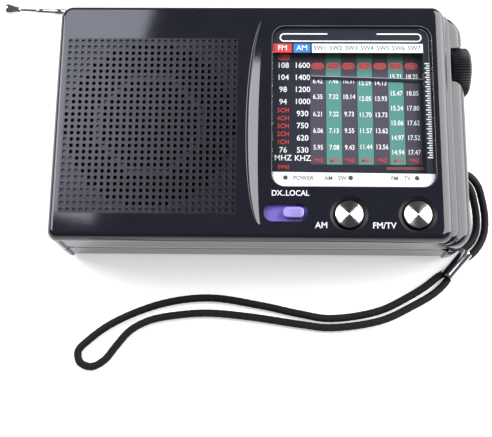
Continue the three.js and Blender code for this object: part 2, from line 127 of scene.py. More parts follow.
# two layers of one grid closed by a wall round the border
def closedSheet(name, rows, count, width, material, body):
    top = gridFaces(count, width)
    bottom = top + count * width
    index = np.arange(2 * count * width).reshape(2 * count, width)
    upper, lower = index[:count], index[count:][::-1]
    border = np.concatenate([upper[0, :], upper[1:, -1], upper[-1, -2::-1], upper[-2:0:-1, 0]])
    under = np.concatenate([lower[0, :], lower[1:, -1], lower[-1, -2::-1], lower[-2:0:-1, 0]])
    wall = np.stack([border, under, np.roll(under, -1), np.roll(border, -1)], -1)
    faces = np.concatenate([top, bottom, wall]).tolist()
    piece = newPiece(name, rows.reshape(-1, 3), faces, material, body)
    weld(piece)
    return piece


# (radius, height) pairs turned round an axis through centre; the radius may be scaled by angle
def turned(name, profile, centre, axis, material, body="case", sides=48, ripple=None, wrap=False):
    profile = np.asarray(profile, float)
    angle = np.linspace(0, 2 * np.pi, sides, endpoint=False)
    radius = profile[:, :1] * np.ones_like(angle)
    if ripple is not None:
        radius = ripple(radius, profile[:, 1:2], angle)
    across, up = radius * np.cos(angle), radius * np.sin(angle)
    along = profile[:, 1:2] * np.ones_like(angle)
    order = {"x": (along, across, up), "y": (up, along, across), "z": (across, up, along)}[axis]
    grid = np.stack(order, -1) + np.asarray(centre, float)
    return carried(name, grid, material, body, wrapRows=wrap)


# a flat drawing with holes, filled and given a thickness and rounded rims
def plate(name, outer, holes, top, thickness, material, body="case", softness=0.0):
    drawing = bpy.data.curves.new(name, "CURVE")
    drawing.dimensions = "2D"
    drawing.fill_mode = "BOTH"
    drawing.extrude = thickness / 2 - softness
    drawing.bevel_depth = softness
    drawing.bevel_resolution = 3
    drawing.offset = -softness
    for loop in [outer, *holes]:
        spline = drawing.splines.new("POLY")
        spline.points.add(len(loop) - 1)
        flat = np.zeros((len(loop), 4))
        flat[:, :2] = loop
        flat[:, 3] = 1
        spline.points.foreach_set("co", flat.ravel())
        spline.use_cyclic_u = True
    return flatToPiece(name, drawing, (0, 0, top - thickness / 2), material, body)


def curvePoints(drawing):
    holder = bpy.data.objects.new("drawing", drawing)
    bpy.context.collection.objects.link(holder)
    bpy.context.view_layer.update()
    mesh = bpy.data.meshes.new_from_object(holder.evaluated_get(bpy.context.evaluated_depsgraph_get()))
    points = np.empty(len(mesh.vertices) * 3)
    mesh.vertices.foreach_get("co", points)
    faces = [list(p.vertices) for p in mesh.polygons]
    bpy.data.objects.remove(holder)
    bpy.data.meshes.remove(mesh)
    return points.reshape(-1, 3), faces


def flatToPiece(name, drawing, shift, material, body):
    points, faces = curvePoints(drawing)
    piece = newPiece(name, points + np.asarray(shift), faces, material, body, closed=False)
    weld(piece)
    normals = np.empty(len(piece.data.polygons) * 3)
    piece.data.polygons.foreach_get("normal", normals)
    piece.data.polygons.foreach_set("use_smooth", np.abs(normals.reshape(-1, 3)[:, 2]) < 0.999)
    return piece


def weld(piece):
    work = bmesh.new()
    work.from_mesh(piece.data)
    bmesh.ops.remove_doubles(work, verts=work.verts, dist=1e-7)
    bmesh.ops.recalc_face_normals(work, faces=work.faces)
    work.to_mesh(piece.data)
    work.free()
    keepCreases(piece.data, 35)


# an open sheet is turned so that its flat parts look out of the face
def faceUp(piece):
    normals = np.empty(len(piece.data.polygons) * 3)
    areas = np.empty(len(piece.data.polygons))
    piece.data.polygons.foreach_get("normal", normals)
    piece.data.polygons.foreach_get("area", areas)
    if (normals.reshape(-1, 3)[:, 2] * areas).sum() < 0:
        piece.data.flip_normals()


# rounded rectangle, anticlockwise from its lower right corner
def roundedBox(left, right, bottom, top, radius, steps=8):
    turn = np.linspace(0, np.pi / 2, steps)
    corners = [(right - radius, bottom + radius, -np.pi / 2), (right - radius, top - radius, 0),
               (left + radius, top - radius, np.pi / 2), (left + radius, bottom + radius, np.pi)]
    return np.concatenate([np.stack([x + radius * np.cos(turn + a), y + radius * np.sin(turn + a)], -1)
                           for x, y, a in corners])


def circle(x, y, radius, sides=40):
    angle = np.linspace(0, 2 * np.pi, sides, endpoint=False)
    return np.stack([x + radius * np.cos(angle), y + radius * np.sin(angle)], -1)


def block(name, low, high, material, body, softness=0.2):
    low, high = np.asarray(low, float), np.asarray(high, float)
    return plate(name, roundedBox(low[0], high[0], low[1], high[1], max(softness, 0.05), steps=4), [],
                 high[2], high[2] - low[2], material, body, softness)


# cutters take their shape out of a piece and are then thrown away
def carve(piece, cutters):
    for cutter in cutters:
        cut = piece.modifiers.new("cut", "BOOLEAN")
        cut.object = cutter
        cut.operation = "DIFFERENCE"
        cut.solver = "EXACT"
    bpy.context.view_layer.update()
    result = bpy.data.meshes.new_from_object(piece.evaluated_get(bpy.context.evaluated_depsgraph_get()))
    piece.modifiers.clear()
    piece.data = result
    keepCreases(result, 35)
    for cutter in cutters:
        bpy.data.objects.remove(cutter)


# materials

# a node's output that can be used in arithmetic
class Wire:
    def __init__(self, shader, socket):
        self.shader, self.socket = shader, socket

    def math(self, operation, first, second=None):
        sockets = {0: first} if second is None else {0: first, 1: second}
        return self.shader.node("ShaderNodeMath", {"operation": operation}, sockets)

    def __add__(self, other):
        return self.math("ADD", self, other)

    def __radd__(self, other):
        return self.math("ADD", other, self)

    def __sub__(self, other):
        return self.math("SUBTRACT", self, other)

    def __rsub__(self, other):
        return self.math("SUBTRACT", other, self)

    def __mul__(self, other):
        return self.math("MULTIPLY", self, other)

    def __rmul__(self, other):
        return self.math("MULTIPLY", other, self)

    def __truediv__(self, other):
        return self.math("DIVIDE", self, other)

    def __rtruediv__(self, other):
        return self.math("DIVIDE", other, self)

    def __pow__(self, other):
        return self.math("POWER", self, other)

    def sine(self):
        return self.math("SINE", self)


# one material: a Principled shader whose sockets take numbers, colours or wires
class Finish:
    def __init__(self, name, colour, roughness, metallic=0.0, **constants):
        self.material = bpy.data.materials.new(name)
        self.material.use_nodes = True
        self.tree = self.material.node_tree
        self.surface = self.tree.nodes["Principled BSDF"]
        self.surface.inputs["Base Color"].default_value = (*colour, 1)
        self.surface.inputs["Roughness"].default_value = roughness
        self.surface.inputs["Metallic"].default_value = metallic
        for key, value in constants.items():
            self.surface.inputs[key.replace("_", " ")].default_value = value

    def node(self, kind, settings=None, sockets=None, out=0):
        made = self.tree.nodes.new(kind)
        for key, value in (settings or {}).items():
            if key == "stops":
                while len(made.color_ramp.elements) < len(value):
                    made.color_ramp.elements.new(0.5)
                for element, (place, shade) in zip(made.color_ramp.elements, value):
                    element.position, element.color = place, (*shade, 1)
            else:
                setattr(made, key, value)
        for key, value in (sockets or {}).items():
            self.feed(made.inputs[key], value)
        return Wire(self, made.outputs[out])

    def feed(self, socket, value):
        if isinstance(value, Wire):
            self.tree.links.new(value.socket, socket)
        else:
            socket.default_value = value

    def set(self, **sockets):
        for key, value in sockets.items():
            self.feed(self.surface.inputs[key.replace("_", " ")], value)
        return self

    def place(self):
        return self.node("ShaderNodeTexCoord", out="Object")

    def noise(self, scale, detail=2.0, rough=0.5, place=None):
        return self.node("ShaderNodeTexNoise", {}, {"Vector": place or self.place(), "Scale": scale,
                                                    "Detail": detail, "Roughness": rough})

    def mix(self, amount, first, second):
        return self.node("ShaderNodeMix", {"data_type": "RGBA"},
                         {0: amount, 6: (*first, 1) if isinstance(first, tuple) else first,
                          7: (*second, 1) if isinstance(second, tuple) else second}, out=2)

    def bump(self, height, distance, strength=1.0):
        settings = {"Height": height, "Distance": distance, "Strength": strength}
        return self.set(Normal=self.node("ShaderNodeBump", {}, settings))


# colour wanders between two shades, roughness a little, and a fine grain lifts the surface
def moulded(name, colour, roughness, grain, metallic=0.0, wander=0.25, spread=0.04, scale=2500, **constants):
    made = Finish(name, colour, roughness, metallic, **constants)
    cloud = made.noise(120, 3)
    lighter = tuple(min(1, c * (1 + wander) + 0.001) for c in colour)
    darker = tuple(c * (1 - wander) for c in colour)
    made.set(Base_Color=made.mix(cloud, darker, lighter))
    made.set(Roughness=made.noise(400, 4) * (2 * spread) + (roughness - spread))
    if grain:
        made.bump(made.noise(scale, 2), grain / 1000)
    return made.material


finishes = {
    "black_gloss": moulded("polished black", (0.0085, 0.0092, 0.0155), 0.06, 0.0025, spread=0.02,
                           Specular_IOR_Level=0.5),
    "black_ribbed": moulded("ribbed black", (0.006, 0.006, 0.008), 0.36, 0.02, Specular_IOR_Level=0.25),
    "pointer_white": moulded("pointer", (0.42, 0.36, 0.4), 0.4, 0.0),
    "drive_plastic": moulded("nylon", (0.68, 0.64, 0.52), 0.45, 0.01),
    "cord_thread": moulded("thread", (0.6, 0.56, 0.42), 0.9, 0.05),
    "chrome": moulded("chrome", (0.6, 0.61, 0.63), 0.09, 0.0, 1.0, wander=0.05, spread=0.02),
    "steel": moulded("steel", (0.5, 0.51, 0.53), 0.32, 0.004, 1.0, wander=0.1),
    "slider_lavender": moulded("lavender", (0.19, 0.145, 0.55), 0.32, 0.01, wander=0.08),
    "lamp": moulded("lamp", (0.06, 0.055, 0.06), 0.25, 0.0),
    "board": moulded("board", (0.05, 0.16, 0.05), 0.5, 0.02),
    "component_black": moulded("component", (0.018, 0.018, 0.02), 0.5, 0.03),
    "capacitor_blue": moulded("capacitor", (0.02, 0.04, 0.12), 0.35, 0.0),
    "capacitor_clear": moulded("milky", (0.55, 0.56, 0.5), 0.35, 0.01),
    "ferrite": moulded("ferrite", (0.04, 0.04, 0.045), 0.7, 0.05),
    "copper_wire": moulded("copper", (0.6, 0.22, 0.08), 0.35, 0.05, 1.0),
    "paper_cone": moulded("paper", (0.02, 0.018, 0.016), 0.9, 0.08),
    "cell_wrap": moulded("cell", (0.5, 0.22, 0.03), 0.35, 0.0, 0.3),
    "dial_print": moulded("dial card", (0.013, 0.016, 0.026), 0.5, 0.0, Specular_IOR_Level=0.2),
}
braidFinish = Finish("braid", (0.012, 0.012, 0.013), 0.75, Specular_IOR_Level=0.25)
windowFinish = Finish("window", (0.9, 0.93, 0.96), 0.03, 1.0)
windowFront = 1 - windowFinish.node("ShaderNodeNewGeometry", {}, {}, "Backfacing")
windowFinish.set(Alpha=(windowFinish.node("ShaderNodeFresnel", {}, {"IOR": 1.45}) * 0.9 + 0.01) * windowFront)
finishes["dial_window"] = windowFinish.material
finishes["braid"] = braidFinish.material

# camera

view = {"place": (35.26, -91.22, 257.76), "tilt": (13.4325, 1.004, 0.6176), "lens": 64.39}
camera = bpy.data.objects.new("camera", bpy.data.cameras.new("camera"))
bpy.context.collection.objects.link(camera)
camera.location = toFrame(view["place"])
camera.rotation_euler = [math.radians(a) for a in view["tilt"]]
camera.data.lens = view["lens"]
camera.data.sensor_width = 36
camera.data.clip_start = 0.01
bpy.context.scene.camera = camera

# wrist strap

strap = {"radius": 1.25, "lie": -caseDepth + 1.25, "spread": 1.4, "pinch": 0.78, "turns": 0.62, "relief": 0.13}

tailRoute = [(99, -11, -19.8), (101.6, -11.3, -20), (104.3, -13.6, -22), (106.2, -17.8, -25),
             (107.3, -22.5, -27.4), (107.1, -27, strap["lie"] + 0.2), (105.3, -31, strap["lie"] + 0.2)]
ferruleFrom = np.array([102.4, -34, strap["lie"] + 0.5])
ferruleTo = np.array([95.1, -42.2, strap["lie"] + 0.5])
loopRoute = [(94.6, -44.6), (91, -47.8), (84, -51.9), (73.9, -56.6), (57.3, -59.1), (47.4, -58.1), (31.1, -55.8),
             (17.7, -54.7), (8.3, -55.3), (-1.5, -57.2), (-7.8, -60.6), (-12, -65.4), (-15.8, -70.2),
             (-19.9, -72.3), (-23.6, -71), (-24.4, -67.4), (-21.2, -63.8), (-13.2, -58), (2.1, -51.8),
             (17.6, -49.7), (34.4, -52), (47.4, -54.7), (57.1, -56.1), (72.9, -53.6), (82.4, -49.1), (89, -45),
             (92.4, -42.3)]


# the middle line moved sideways by the given amount, level with the table
def beside(middle, side):
    middle = np.asarray(middle, float)
    ahead = np.gradient(middle, axis=0)
    across = np.stack([-ahead[:, 1], ahead[:, 0], np.zeros(len(middle))], -1)
    return middle + side * across / np.linalg.norm(across, axis=1, keepdims=True)


# a smooth cubic through the points, each timed by the root of its distance, sampled at an even step
def smoothPath(points, step):
    points = np.asarray(points, float)
    chord = np.concatenate([[0], np.cumsum(np.sqrt(np.linalg.norm(np.diff(points, axis=0), axis=1)))])
    slopes = np.gradient(points, chord, axis=0)
    fine = np.linspace(0, chord[-1], 4000)
    i = np.clip(np.searchsorted(chord, fine, side="right") - 1, 0, len(points) - 2)
    h = (chord[i + 1] - chord[i])[:, None]
    t = ((fine - chord[i]) / h[:, 0])[:, None]
    curve = ((2 * t**3 - 3 * t**2 + 1) * points[i] + (t**3 - 2 * t**2 + t) * h * slopes[i]
             + (3 * t**2 - 2 * t**3) * points[i + 1] + (t**3 - t**2) * h * slopes[i + 1])
    length = np.concatenate([[0], np.cumsum(np.linalg.norm(np.diff(curve, axis=0), axis=1))])
    even = np.linspace(0, length[-1], int(length[-1] / step) + 1)
    return np.stack([np.interp(even, length, curve[:, k]) for k in range(3)], -1), length[-1]


def strapRoute():
    middle = [*tailRoute, tuple(ferruleFrom - [0.3, 0.35, 0])]
    outward, inward = beside(middle, strap["spread"]), beside(middle, -strap["spread"])
    pair = np.stack([ferruleFrom + (ferruleTo - ferruleFrom) * k for k in (0.2, 0.5, 0.8)])
    pair = np.concatenate([pair[:1] - (pair[1:2] - pair[:1]), pair])
    outer, inner = beside(pair, strap["pinch"])[1:], beside(pair, -strap["pinch"])[1:]
    loop = [(x, y, strap["lie"]) for x, y in loopRoute]
    return np.concatenate([outward, outer, loop, inner[::-1], inward[::-1]])


# a braid: two families of helices round the cord, the surface standing out where a strand is on top
def makeStrap():
    path, length = smoothPath(strapRoute(), 0.3)
    ahead = np.gradient(path, axis=0)
    ahead /= np.linalg.norm(ahead, axis=1, keepdims=True)
    across = np.cross(np.tile([0.0, 0.0, 1.0], (len(path), 1)), ahead)
    across /= np.linalg.norm(across, axis=1, keepdims=True)
    up = np.cross(ahead, across)
    angle = np.linspace(0, 2 * np.pi, 24, endpoint=False)
    along = np.linspace(0, length, len(path))[:, None]
    left = np.sin(4 * angle - strap["turns"] * 4 * along)
    right = np.sin(4 * angle + strap["turns"] * 4 * along)
    weave = np.sin(strap["turns"] * 4 * along) * np.sin(4 * angle)
    height = np.abs(left * (weave > 0) + right * (weave <= 0))
    radius = strap["radius"] - strap["relief"] * (1 - height)
    ring = radius[..., None] * (np.cos(angle)[None, :, None] * across[:, None]
                                + np.sin(angle)[None, :, None] * up[:, None])
    piece = carried("wrist_strap", path[:, None] + ring, "braid")
    standsFor(piece, "braid", "strap_tail_1", "strap_tail_2", "strap_loop")
    print("strap length mm", round(length, 1))
    return piece, path, length


# an oval crimped tube: the section's width and height swell at both mouths
def makeFerrule():
    size = {"wide": 2.15, "high": 1.95, "wall": 0.3, "flare": 0.12}
    middle, half = (ferruleFrom + ferruleTo) / 2, (ferruleTo - ferruleFrom) / 2
    middle = np.array([middle[0], middle[1], -caseDepth + size["high"]])
    reach = np.linalg.norm(half)
    ahead = half / reach
    across = np.array([-ahead[1], ahead[0], 0])
    outer = np.array([(-1, 0.9), (-0.985, 1.0), (-0.93, 1.02), (-0.8, 1.0), (0, 0.97), (0.8, 1.0), (0.93, 1.02),
                      (0.985, 1.0), (1, 0.9)])
    inner = np.array([(0.97, 0.84), (0, 0.83), (-0.97, 0.84)])
    rows = np.concatenate([outer, inner])
    angle = np.linspace(0, 2 * np.pi, 48, endpoint=False)
    grid = (middle + rows[:, 0, None, None] * half
            + rows[:, 1, None, None] * (size["wide"] * np.cos(angle)[None, :, None] * across
                                        + size["high"] * np.sin(angle)[None, :, None] * np.array([0, 0, 1.0])))
    piece = carried("strap_crimp", grid, "chrome", "case", wrapRows=True)
    standsFor(piece, "chrome", "strap_ferrule")
    return piece


braidShade = braidFinish.mix(braidFinish.noise(900, 3), (0.003, 0.003, 0.004), (0.016, 0.016, 0.019))
braidFinish.set(Base_Color=braidShade)
braidFinish.bump(braidFinish.noise(6000, 2), 0.00008)
strapPiece, strapPath, strapLength = makeStrap()
ferrulePiece = makeFerrule()
print("strap made")

# case

# the front rim is a quarter ellipse: its own radius all round, and a broader shoulder on the right
def frontRim(steps=10):
    return [(case["right"], case["corner"], case["rim"] * (1 - math.sin(a)),
             faceFront - case["shoulder"] * (1 - math.cos(a)), case["shoulder"] * (1 - math.sin(a)))
            for a in np.linspace(0, np.pi / 2, steps)]


# a row of the broad lower part: its edges move in evenly on all sides
def broadRow(inset, height):
    return case["broad"], 6.4, inset, height, inset


# outer right edge, its corner radius, inset all round, height, and inset on the right, going down:
# the front half of the case: the shoulder, a narrow ridge and a broad one
flankRows = frontRim()
flankRows += [(92.9, 4.4, 0, -3.6, 0), (92.7, 4.4, 0, -4.1, 0), (93.2, 4.5, 0, -4.35, 0), (94.2, 4.6, 0, -4.5, 0),
              (94.8, 4.7, 0, -4.9, 0), (95.1, 4.8, 0, -5.5, 0), (95.1, 4.8, 0, -6.3, 0), (94.9, 4.8, 0, -6.8, 0),
              (95.3, 4.9, 0, -7.05, 0)]
flankRows += [(95.9 + 4.3 * math.sin(a), 5.0 + 1.4 * math.sin(a), 0, -7.1 - 5.6 * (1 - math.cos(a)), 0)
              for a in np.linspace(0.1, np.pi / 2, 10)]
flankRows += [broadRow(0, -14), broadRow(0, -15.7), (100.05, 6.4, 0.15, -15.95, 0.15)]


# one ring per row: straight sides and quarter-ellipse corners; the bottom side steps in between the
# two ends of its recess, which opens and closes with the height
def caseRings(rows, recessed):
    right, corner, inset, height, aside = (np.asarray(rows, float)[:, k, None] for k in range(5))
    left, bottom, top = case["left"] + inset, case["bottom"] + inset, case["top"] - inset
    right = right - aside
    rx, ry = np.maximum(corner - aside, 0.5), np.maximum(corner - inset, 0.5)
    lr = np.maximum(case["corner"] - inset, 0.5)
    foot = np.maximum(case["footCorner"] - inset, 0.5)
    turn = np.linspace(0, np.pi / 2, 12)[None, 1:-1]
    nominal = (case["left"] + case["footCorner"], case["right"] - case["corner"])
    xs = np.concatenate([[case["recessLeft"] - 0.5, case["recessLeft"]], np.linspace(-26, 87.6, 20),
                         [case["recessRight"], case["recessRight"] + 0.25]])[None]
    inside = (xs >= case["recessLeft"]) & (xs <= case["recessRight"])
    share = (xs - nominal[0]) / (nominal[1] - nominal[0])
    opened = np.clip((-height - 3.0) / 1.2, 0, 1) * np.clip((height + 29.0) / 1.5, 0, 1) * recessed
    one = np.ones_like(right)
    side = np.linspace(0, 1, 22)[None]
    shortSide = np.linspace(0, 1, 8)[None]
    parts = [
        (left + foot + (right - rx - left - foot) * share, bottom + case["recess"] * inside * opened),
        (right - rx + rx * np.sin(turn), bottom + ry - ry * np.cos(turn)),
        (right * np.ones_like(side), bottom + ry + (top - bottom - 2 * ry) * side),
        (right - rx + rx * np.cos(turn), top - ry + ry * np.sin(turn)),
        (right - rx + (left + lr - right + rx) * side, top * np.ones_like(side)),
        (left + lr - lr * np.sin(turn), top - lr + lr * np.cos(turn)),
        (left * np.ones_like(shortSide), top - lr + (bottom + foot - top + lr) * shortSide),
        (left + foot - foot * np.cos(turn), bottom + foot - foot * np.sin(turn)),
    ]
    x = np.concatenate([p[0] * one for p in parts], 1)
    y = np.concatenate([p[1] * one for p in parts], 1)
    return np.stack([x, y, height * np.ones_like(x)], -1)


def cutCylinder(centre, axis, radius, low, high, sides=64):
    return turned("cutter", [(0.001, low), (radius, low), (radius, high), (0.001, high)], centre, axis,
                  "black_gloss", "case", sides)


def cutBox(low, high):
    return block("cutter", low, high, "black_gloss", "case", 0)


knob = {"y": 23.3, "z": -14.0, "radius": 8.05, "from": 95.4, "to": 102.2, "ribs": 56, "depth": 0.28, "room": 0.95}


def makeFrontFrame():
    wall = case["wall"]
    inner = [(95.6, 6.0, wall, -15.95, wall), (95.6, 6.0, wall, -13.2, wall), (93.6, 4.5, wall, -9, wall),
             (91.3, 4.0, wall, -5, wall), (91.0, 4.0, wall + 1.0, -2.4, wall + 1), (92.9, 4.4, 2.2, -0.4, 4.0)]
    grid = np.concatenate([caseRings(flankRows, 1.0), caseRings(inner, 0.0)])
    piece = carried("front_case", grid, "black_gloss", "case", wrapRows=True)
    carve(piece, [cutCylinder((0, knob["y"], knob["z"]), "x", knob["radius"] + knob["room"], 94.8, 110),
                  cutCylinder((0, knob["y"], knob["z"]), "x", 3.2, 80, 96)])
    standsFor(piece, "black_gloss", "front_shell")


makeFrontFrame()
print("front case made")

# face: grille field, openings and the crescent scoop

grille = {"pitchX": 2.0, "pitchY": 2.0347, "columns": 27, "rows": 28, "hole": 0.56, "sides": 16, "deep": 1.2,
          "shallow": 0.55}
window = {"left": 37.5, "right": 88.0, "bottom": -20.0, "top": 33.1, "corner": 4.3}
slot = {"left": 35.4, "right": 48.6, "bottom": -30.7, "top": -25.2, "corner": 2.5}
keys = {"am": 61.05, "fm": 81.6, "y": -28.4, "radius": 4.26, "well": 5.75}


# a hole's cell is a square whose border points are joined to the hole's rim, then the hole's wall
# goes down, and blind holes get a floor; all cells are laid out at once
def makeGrille():
    n = grille["sides"]
    angle = 2 * np.pi * np.arange(n) / n
    direction = np.stack([np.cos(angle), np.sin(angle)], -1)
    border = direction / np.abs(direction).max(1, keepdims=True) * [grille["pitchX"] / 2, grille["pitchY"] / 2]
    column = np.arange(grille["columns"]) - (grille["columns"] - 1) / 2
    row = np.arange(grille["rows"]) - (grille["rows"] - 1) / 2
    cx, cy = (a.ravel() for a in np.meshgrid(column, row, indexing="ij"))
    ringBlind = np.maximum(np.maximum(np.abs(cx) / 8, np.abs(cy) / 7.5), (np.abs(cx) + np.abs(cy)) / 10.5)
    openHole = (np.hypot(cx, cy) < 13.1) & ~np.isclose(ringBlind, 1)
    depth = np.where(openHole, grille["deep"], grille["shallow"])
    centre = np.stack([cx * grille["pitchX"], cy * grille["pitchY"]], -1)
    rings = [(border, 0.0, 0.0), (direction * (grille["hole"] + 0.07), 0.0, 0.0),
             (direction * grille["hole"], -0.06, 0.0), (direction * grille["hole"], 0.0, 1.0)]
    points = np.empty((len(centre), len(rings), n, 3))
    for k, (ring, z, down) in enumerate(rings):
        points[:, k, :, :2] = centre[:, None] + ring
        points[:, k, :, 2] = (faceFront + z - depth * down)[:, None]
    cell = gridFaces(4, n, False, True)
    faces = (np.arange(len(centre))[:, None, None] * (4 * n) + cell[None]).reshape(-1, 4).tolist()
    floors = (np.flatnonzero(~openHole)[:, None] * (4 * n) + 3 * n + np.arange(n)[None]).tolist()
    piece = newPiece("speaker_grille", points.reshape(-1, 3), faces + floors, "grille", "case", closed=False)
    weld(piece)
    faceUp(piece)
    standsFor(piece, "black_gloss", "front_shell")


def makeGrilleFinish():
    made = Finish("grille field", (0.0075, 0.0085, 0.015), 0.2, Specular_IOR_Level=0.5)
    made.set(Base_Color=made.mix(made.noise(120, 3), (0.008, 0.008, 0.013), (0.014, 0.013, 0.02)))
    made.bump(made.noise(4500, 2), 0.00003)
    return made.material


finishes["grille"] = makeGrilleFinish()
makeGrille()


# the crescent lies between two arcs with the same tips, whose bulge goes as a power of a parabola:
# a nearly straight one beside the dial and a fuller one beside the grille
crescent = {"top": (35.5, 35.2), "bottom": (34.5, -32.0), "innerBulge": 1.5, "outerBulge": 5.3, "slope": 0.36}


def crescentArc(bulge, power, steps=64):
    t = (1 - np.cos(np.linspace(0, np.pi, steps))) / 2
    top, bottom = np.array(crescent["top"]), np.array(crescent["bottom"])
    line = top + (bottom - top) * t[:, None]
    line[:, 0] -= bulge * (4 * t * (1 - t)) ** power
    return line


def makeFace():
    halfX = grille["columns"] * grille["pitchX"] / 2
    halfY = grille["rows"] * grille["pitchY"] / 2
    field = np.array([(-halfX, -halfY), (halfX, -halfY), (halfX, halfY), (-halfX, halfY)])
    inner, outer = crescentArc(crescent["innerBulge"], 0.6), crescentArc(crescent["outerBulge"], 0.5)
    scoop = np.concatenate([outer, inner[-2:0:-1]])
    holes = [field, scoop, roundedBox(*window.values()), roundedBox(*slot.values()),
             circle(keys["am"], keys["y"], keys["well"]), circle(keys["fm"], keys["y"], keys["well"])]
    outline = caseRings(flankRows[:1], 0.0)[0][:, :2]
    face = plate("face_plate", outline, holes, faceFront, 1.35, "black_gloss")
    # across the crescent the floor drops in a short fillet beside the grille, then climbs evenly
    t = np.linspace(0, 1, 25)
    drop = np.where(t < 0.22, 0.5 - 0.5 * np.cos(np.pi * t / 0.22), 1 - (t - 0.22) / 0.78)[:, None]
    width = np.linalg.norm(outer - inner, axis=1)[None]
    grid = np.concatenate([outer + (inner - outer) * t[:, None, None], np.zeros((25, len(outer), 1))], -1)
    grid[..., 2] = faceFront - crescent["slope"] * 0.78 * width * drop
    scoopPiece = newPiece("face_crescent", grid.reshape(-1, 3), gridFaces(25, len(outer)), "black_gloss",
                          "case", closed=False)
    faceUp(scoopPiece)
    for piece in (face, scoopPiece):
        standsFor(piece, "black_gloss", "front_shell")


makeFace()
print("face made")

# key wells, keys and the sensitivity slider

# a well is a shallow dish round each key: outer rim, slope, and the bore that the key slides in
def makeKeys():
    slope = [(5.74, 0.01), (5.7, 0.03), (5.62, 0.14), (5.55, 0.17), (5.0, 0.34), (4.68, 0.45), (4.6, 0.6)]
    profile = [(radius, faceFront - down) for radius, down in slope] + [(4.6, -1.6), (5.74, -1.6)]
    cap = [(0.001, 1.42), (0.5, 1.42), (2.4, 1.38), (3.7, 1.36), (3.95, 1.4), (4.12, 1.34),
           (keys["radius"], 1.14), (keys["radius"], -3.0), (0.001, -3.0)]
    for name, x, body in (("am", keys["am"], "am_key"), ("fm", keys["fm"], "fm_key")):
        well = turned(name + "_key_well", profile, (x, keys["y"], 0), "z", "black_ribbed", "case", 64,
                      wrap=True)
        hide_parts("front_shell")
        finishes["spun_" + name] = spunMetalPaintedSheen(name, x)
        key = turned(name + "_key_cap", cap, (x, keys["y"], 0), "z", "spun_" + name, body, 96)
        standsFor(key, "chrome", name + "_button")


# spun metal: fine rings, and two pairs of soft wedges painted into the base colour, a painted reflection: light where
# the turned surface would catch the light, dark where it would lose it
def spunMetalPaintedSheen(name, x):
    made = Finish("spun metal " + name, (0.8, 0.8, 0.82), 0.22, 1.0)
    centre = toFrame((x, keys["y"], 0))
    local = made.node("ShaderNodeVectorMath", {"operation": "SUBTRACT"}, {0: made.place(), 1: tuple(centre)})
    parts = made.tree.nodes.new("ShaderNodeSeparateXYZ")
    made.feed(parts.inputs[0], local)
    px, py = Wire(made, parts.outputs[0]), Wire(made, parts.outputs[1])
    radius = (px * px + py * py) ** 0.5
    lean = (px * px - py * py) / (radius * radius + 1e-9)
    paintedSheenWedge = made.node("ShaderNodeMapRange", {"interpolation_type": "SMOOTHSTEP"},
                      {"Value": lean, "From Min": -0.16, "From Max": 0.1, "To Min": 0, "To Max": 1})
    paintedSheenStreak = made.noise(700, 2, place=made.node("ShaderNodeCombineXYZ", {}, {0: lean * 0.02, 1: 0.0, 2: 0.0}))
    # painted reflection: the base colour swings between dark and bright wedges by angle, with radial streaks
    made.set(Base_Color=made.mix(paintedSheenWedge * 0.85 + paintedSheenStreak * 0.2, (0.1, 0.095, 0.1), (0.95, 0.95, 0.96)))
    made.bump((radius * 26000).sine(), 0.000012)
    return made.material


makeKeys()

slider = {"plateTop": -0.9, "thumb": (41.2, 47.5, -29.5, -26.2), "thumbTop": 1.25, "ribs": 5}


def makeSlider():
    left, right, low, high = slider["thumb"]
    base = plate("slider_plate", roundedBox(35.2, 52.5, -31.9, -24, 0.5), [], slider["plateTop"], 0.85,
                 "slider_lavender", "slider", 0.1)
    # the thumb is a rounded pad with a few low ribs towards its right end
    pad = plate("slider_thumb", roundedBox(left, right, low, high, 1.3), [], slider["thumbTop"] - 0.15, 1.9,
                "slider_thumb", "slider", 0.4)
    bars = [band(x, high - 0.7, low + 0.7, 0.25) for x in np.linspace(left + 2.6, right - 1.2, slider["ribs"])]
    ribs = plate("slider_ribs", bars[0], bars[1:], slider["thumbTop"], 0.4, "slider_thumb", "slider", 0.05)
    for made in (base, pad, ribs):
        standsFor(made, "slider_lavender", "sensitivity_slider")


def band(x, top, bottom, width):
    return [(x - width / 2, bottom), (x + width / 2, bottom), (x + width / 2, top), (x - width / 2, top)]


# painted light: the raised thumb gets a lighter copy of the slider's lavender than the plate sunk in the slot
finishes["slider_thumb"] = moulded("lavender thumb painted lighter", (0.34, 0.28, 0.66), 0.3, 0.01, wander=0.06)
makeSlider()
print("keys and slider made")

# dial: window, card, strips, numbers and pointer

# the short-wave strips come out of painted shade below the header: their ink is darkened near the header and clears
# further down the card
def inkWithPaintedShade(name, colour):
    made = Finish(name, colour, 0.5, Specular_IOR_Level=0.2)
    parts = made.tree.nodes.new("ShaderNodeSeparateXYZ")
    made.feed(parts.inputs[0], made.place())
    top = float(toFrame((0, 24.5, 0))[1])
    full = float(toFrame((0, 16.0, 0))[1])
    clearOfPaintedShade = made.node("ShaderNodeMapRange", {"interpolation_type": "SMOOTHSTEP"},
                     {"Value": Wire(made, parts.outputs[1]), "From Min": top, "From Max": full,
                      "To Min": 0, "To Max": 1})
    speckle = made.noise(2600, 2) * 0.3
    # painted shade: near the header the ink drops to 0.12 of its colour, reaching full colour by y 16
    made.set(Base_Color=made.mix(clearOfPaintedShade * 0.9 + speckle - 0.05, tuple(c * 0.12 for c in colour), colour))
    return made.material


